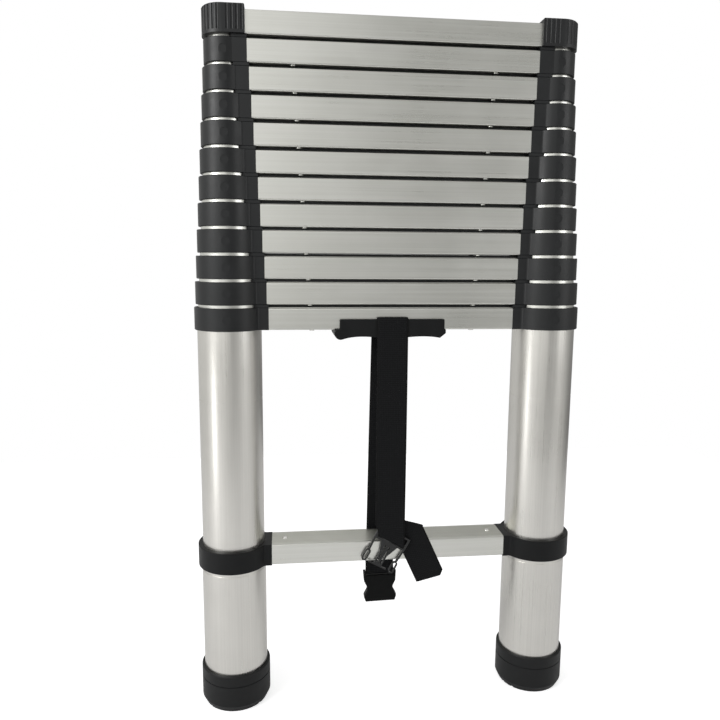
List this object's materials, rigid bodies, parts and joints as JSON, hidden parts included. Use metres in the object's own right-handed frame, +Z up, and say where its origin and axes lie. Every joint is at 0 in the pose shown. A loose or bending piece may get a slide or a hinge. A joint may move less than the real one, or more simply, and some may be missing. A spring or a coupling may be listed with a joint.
{
  "type": "telescoping ladder",
  "caption": "Closed telescoping aluminium ladder with stacked rungs, sprung rung latches, rubber feet, a fixed bottom rung, a carry handle and a webbing strap with an open buckle.",
  "frame": {"origin": "on the floor, midway between the soles of the two feet", "axes": "+Z up along the stiles, +X along the rungs, -Y towards the side with the buckle plug"},
  "size_m": [0.4894, 0.0894, 0.8563],
  "materials": {
    "aluminium_tube": "satin anodised",
    "aluminium_rung": "satin, drawn along its length",
    "black_plastic": "fine texture",
    "latch_plastic": "fine texture",
    "buckle_plastic": "smooth",
    "black_rubber": "matt",
    "black_webbing": "woven",
    "rivet_steel": "bright"
  },
  "bodies": {
    "section_01": {"lower_legs": "aluminium_tube", "rubber_feet": "black_rubber", "lower_clamps": "black_plastic", "lower_rung": "aluminium_rung", "base_rung_rivets": "rivet_steel", "section_01_tubes": "aluminium_tube", "section_01_collars_and_strip": "black_plastic", "section_01_rung": "aluminium_rung", "carry_handle": "black_plastic", "strap_front": "black_webbing", "strap_rear": "black_webbing", "strap_tail": "black_webbing", "buckle_plug": "buckle_plastic", "buckle_socket": "buckle_plastic"},
    "section_02": {"section_02_tubes_and_rung": "aluminium_rung", "section_02_collars_bushes_strip": "black_plastic"},
    "section_03": {"section_03_tubes_and_rung": "aluminium_rung", "section_03_collars_bushes_strip": "black_plastic"},
    "section_04": {"section_04_tubes_and_rung": "aluminium_rung", "section_04_collars_bushes_strip": "black_plastic"},
    "section_05": {"section_05_tubes_and_rung": "aluminium_rung", "section_05_collars_bushes_strip": "black_plastic"},
    "section_06": {"section_06_tubes_and_rung": "aluminium_rung", "section_06_collars_bushes_strip": "black_plastic"},
    "section_07": {"section_07_tubes_and_rung": "aluminium_rung", "section_07_collars_bushes_strip": "black_plastic"},
    "section_08": {"section_08_tubes_and_rung": "aluminium_rung", "section_08_collars_bushes_strip": "black_plastic"},
    "section_09": {"section_09_tubes_and_rung": "aluminium_rung", "section_09_collars_bushes_strip": "black_plastic"},
    "section_10": {"section_10_tubes_and_rung": "aluminium_rung", "section_10_collars_bushes_strip": "black_plastic"},
    "section_11": {"section_11_tubes_and_rung": "aluminium_rung", "section_11_collars_bushes_strip": "black_plastic"},
    "section_12": {"section_12_tubes_and_rung": "aluminium_rung", "section_12_caps_and_bushes": "black_plastic"},
    "latch_01_left": {"section_01_latch_left": "latch_plastic"},
    "latch_01_right": {"section_01_latch_right": "latch_plastic"},
    "latch_02_left": {"section_02_latch_left": "latch_plastic"},
    "latch_02_right": {"section_02_latch_right": "latch_plastic"},
    "latch_03_left": {"section_03_latch_left": "latch_plastic"},
    "latch_03_right": {"section_03_latch_right": "latch_plastic"},
    "latch_04_left": {"section_04_latch_left": "latch_plastic"},
    "latch_04_right": {"section_04_latch_right": "latch_plastic"},
    "latch_05_left": {"section_05_latch_left": "latch_plastic"},
    "latch_05_right": {"section_05_latch_right": "latch_plastic"},
    "latch_06_left": {"section_06_latch_left": "latch_plastic"},
    "latch_06_right": {"section_06_latch_right": "latch_plastic"},
    "latch_07_left": {"section_07_latch_left": "latch_plastic"},
    "latch_07_right": {"section_07_latch_right": "latch_plastic"},
    "latch_08_left": {"section_08_latch_left": "latch_plastic"},
    "latch_08_right": {"section_08_latch_right": "latch_plastic"},
    "latch_09_left": {"section_09_latch_left": "latch_plastic"},
    "latch_09_right": {"section_09_latch_right": "latch_plastic"},
    "latch_10_left": {"section_10_latch_left": "latch_plastic"},
    "latch_10_right": {"section_10_latch_right": "latch_plastic"},
    "latch_11_left": {"section_11_latch_left": "latch_plastic"},
    "latch_11_right": {"section_11_latch_right": "latch_plastic"}
  },
  "joints": [
    {"name": "section_02_slide", "type": "slide", "parent": "section_01", "child": "section_02", "axis": [0, 0, 1], "range_m": [0, 0.2693]},
    {"name": "section_03_slide", "type": "slide", "parent": "section_02", "child": "section_03", "axis": [0, 0, 1], "range_m": [0, 0.2693]},
    {"name": "section_04_slide", "type": "slide", "parent": "section_03", "child": "section_04", "axis": [0, 0, 1], "range_m": [0, 0.2693]},
    {"name": "section_05_slide", "type": "slide", "parent": "section_04", "child": "section_05", "axis": [0, 0, 1], "range_m": [0, 0.2693]},
    {"name": "section_06_slide", "type": "slide", "parent": "section_05", "child": "section_06", "axis": [0, 0, 1], "range_m": [0, 0.2693]},
    {"name": "section_07_slide", "type": "slide", "parent": "section_06", "child": "section_07", "axis": [0, 0, 1], "range_m": [0, 0.2693]},
    {"name": "section_08_slide", "type": "slide", "parent": "section_07", "child": "section_08", "axis": [0, 0, 1], "range_m": [0, 0.2693]},
    {"name": "section_09_slide", "type": "slide", "parent": "section_08", "child": "section_09", "axis": [0, 0, 1], "range_m": [0, 0.2693]},
    {"name": "section_10_slide", "type": "slide", "parent": "section_09", "child": "section_10", "axis": [0, 0, 1], "range_m": [0, 0.2693]},
    {"name": "section_11_slide", "type": "slide", "parent": "section_10", "child": "section_11", "axis": [0, 0, 1], "range_m": [0, 0.2693]},
    {"name": "section_12_slide", "type": "slide", "parent": "section_11", "child": "section_12", "axis": [0, 0, 1], "range_m": [0, 0.2693]},
    {"name": "latch_01_left_slide", "type": "slide", "parent": "section_01", "child": "latch_01_left", "axis": [1, 0, 0], "range_m": [0, 0.006], "stiffness_N_per_m": 200, "springref_m": -0.005},
    {"name": "latch_01_right_slide", "type": "slide", "parent": "section_01", "child": "latch_01_right", "axis": [-1, 0, 0], "range_m": [0, 0.006], "stiffness_N_per_m": 200, "springref_m": -0.005},
    {"name": "latch_02_left_slide", "type": "slide", "parent": "section_02", "child": "latch_02_left", "axis": [1, 0, 0], "range_m": [0, 0.006], "stiffness_N_per_m": 200, "springref_m": -0.005},
    {"name": "latch_02_right_slide", "type": "slide", "parent": "section_02", "child": "latch_02_right", "axis": [-1, 0, 0], "range_m": [0, 0.006], "stiffness_N_per_m": 200, "springref_m": -0.005},
    {"name": "latch_03_left_slide", "type": "slide", "parent": "section_03", "child": "latch_03_left", "axis": [1, 0, 0], "range_m": [0, 0.006], "stiffness_N_per_m": 200, "springref_m": -0.005},
    {"name": "latch_03_right_slide", "type": "slide", "parent": "section_03", "child": "latch_03_right", "axis": [-1, 0, 0], "range_m": [0, 0.006], "stiffness_N_per_m": 200, "springref_m": -0.005},
    {"name": "latch_04_left_slide", "type": "slide", "parent": "section_04", "child": "latch_04_left", "axis": [1, 0, 0], "range_m": [0, 0.006], "stiffness_N_per_m": 200, "springref_m": -0.005},
    {"name": "latch_04_right_slide", "type": "slide", "parent": "section_04", "child": "latch_04_right", "axis": [-1, 0, 0], "range_m": [0, 0.006], "stiffness_N_per_m": 200, "springref_m": -0.005},
    {"name": "latch_05_left_slide", "type": "slide", "parent": "section_05", "child": "latch_05_left", "axis": [1, 0, 0], "range_m": [0, 0.006], "stiffness_N_per_m": 200, "springref_m": -0.005},
    {"name": "latch_05_right_slide", "type": "slide", "parent": "section_05", "child": "latch_05_right", "axis": [-1, 0, 0], "range_m": [0, 0.006], "stiffness_N_per_m": 200, "springref_m": -0.005},
    {"name": "latch_06_left_slide", "type": "slide", "parent": "section_06", "child": "latch_06_left", "axis": [1, 0, 0], "range_m": [0, 0.006], "stiffness_N_per_m": 200, "springref_m": -0.005},
    {"name": "latch_06_right_slide", "type": "slide", "parent": "section_06", "child": "latch_06_right", "axis": [-1, 0, 0], "range_m": [0, 0.006], "stiffness_N_per_m": 200, "springref_m": -0.005},
    {"name": "latch_07_left_slide", "type": "slide", "parent": "section_07", "child": "latch_07_left", "axis": [1, 0, 0], "range_m": [0, 0.006], "stiffness_N_per_m": 200, "springref_m": -0.005},
    {"name": "latch_07_right_slide", "type": "slide", "parent": "section_07", "child": "latch_07_right", "axis": [-1, 0, 0], "range_m": [0, 0.006], "stiffness_N_per_m": 200, "springref_m": -0.005},
    {"name": "latch_08_left_slide", "type": "slide", "parent": "section_08", "child": "latch_08_left", "axis": [1, 0, 0], "range_m": [0, 0.006], "stiffness_N_per_m": 200, "springref_m": -0.005},
    {"name": "latch_08_right_slide", "type": "slide", "parent": "section_08", "child": "latch_08_right", "axis": [-1, 0, 0], "range_m": [0, 0.006], "stiffness_N_per_m": 200, "springref_m": -0.005},
    {"name": "latch_09_left_slide", "type": "slide", "parent": "section_09", "child": "latch_09_left", "axis": [1, 0, 0], "range_m": [0, 0.006], "stiffness_N_per_m": 200, "springref_m": -0.005},
    {"name": "latch_09_right_slide", "type": "slide", "parent": "section_09", "child": "latch_09_right", "axis": [-1, 0, 0], "range_m": [0, 0.006], "stiffness_N_per_m": 200, "springref_m": -0.005},
    {"name": "latch_10_left_slide", "type": "slide", "parent": "section_10", "child": "latch_10_left", "axis": [1, 0, 0], "range_m": [0, 0.006], "stiffness_N_per_m": 200, "springref_m": -0.005},
    {"name": "latch_10_right_slide", "type": "slide", "parent": "section_10", "child": "latch_10_right", "axis": [-1, 0, 0], "range_m": [0, 0.006], "stiffness_N_per_m": 200, "springref_m": -0.005},
    {"name": "latch_11_left_slide", "type": "slide", "parent": "section_11", "child": "latch_11_left", "axis": [1, 0, 0], "range_m": [0, 0.006], "stiffness_N_per_m": 200, "springref_m": -0.005},
    {"name": "latch_11_right_slide", "type": "slide", "parent": "section_11", "child": "latch_11_right", "axis": [-1, 0, 0], "range_m": [0, 0.006], "stiffness_N_per_m": 200, "springref_m": -0.005}
  ]
}
